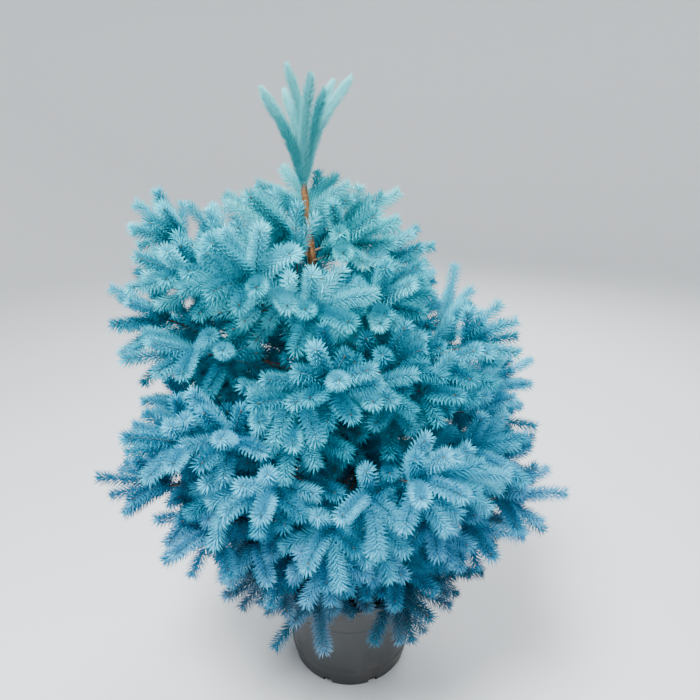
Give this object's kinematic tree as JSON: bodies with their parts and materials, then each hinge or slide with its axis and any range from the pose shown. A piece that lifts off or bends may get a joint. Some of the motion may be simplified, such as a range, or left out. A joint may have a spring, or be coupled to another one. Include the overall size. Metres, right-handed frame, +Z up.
{
  "type": "potted blue spruce",
  "caption": "Young blue spruce in a plain round nursery pot: leaning trunk, rings of boughs that rise towards the top, and dense blue-green needle shoots",
  "frame": {"origin": "centre of the pot's flat underside", "axes": "+Z up along the height of the plant, -Y towards the side that the picture shows, -X the way the trunk leans"},
  "size_m": [0.9182, 0.8419, 1.3419],
  "materials": {
    "pot_plastic": "satin",
    "bark_compost": "matte",
    "bark": "matte",
    "blue_needles": "matte"
  },
  "bodies": {
    "root": {"pot": "pot_plastic", "compost": "bark_compost", "trunk": "bark", "bough_1_1": "bark", "bough_1_2": "bark", "bough_1_3": "bark", "bough_1_4": "bark", "bough_1_5": "bark", "bough_2_1": "bark", "bough_2_2": "bark", "bough_2_3": "bark", "bough_2_4": "bark", "bough_2_5": "bark", "bough_3_1": "bark", "bough_3_2": "bark", "bough_3_3": "bark", "bough_3_4": "bark", "bough_3_5": "bark", "bough_4_1": "bark", "bough_4_2": "bark", "bough_4_3": "bark", "bough_4_4": "bark", "bough_4_5": "bark", "bough_5_1": "bark", "bough_5_2": "bark", "bough_5_3": "bark", "bough_5_4": "bark", "bough_5_5": "bark", "foliage_1_1": "blue_needles", "foliage_1_2": "blue_needles", "foliage_1_3": "blue_needles", "foliage_1_4": "blue_needles", "foliage_1_5": "blue_needles", "foliage_2_1": "blue_needles", "foliage_2_2": "blue_needles", "foliage_2_3": "blue_needles", "foliage_2_4": "blue_needles", "foliage_2_5": "blue_needles", "foliage_3_1": "blue_needles", "foliage_3_2": "blue_needles", "foliage_3_3": "blue_needles", "foliage_3_4": "blue_needles", "foliage_3_5": "blue_needles", "foliage_4_1": "blue_needles", "foliage_4_2": "blue_needles", "foliage_4_3": "blue_needles", "foliage_4_4": "blue_needles", "foliage_4_5": "blue_needles", "foliage_5_1": "blue_needles", "foliage_5_2": "blue_needles", "foliage_5_3": "blue_needles", "foliage_5_4": "blue_needles", "foliage_5_5": "blue_needles", "foliage_6_1": "blue_needles", "foliage_6_2": "blue_needles", "foliage_6_3": "blue_needles", "foliage_6_4": "blue_needles", "foliage_6_5": "blue_needles", "foliage_leader": "blue_needles"}
  },
  "joints": []
}
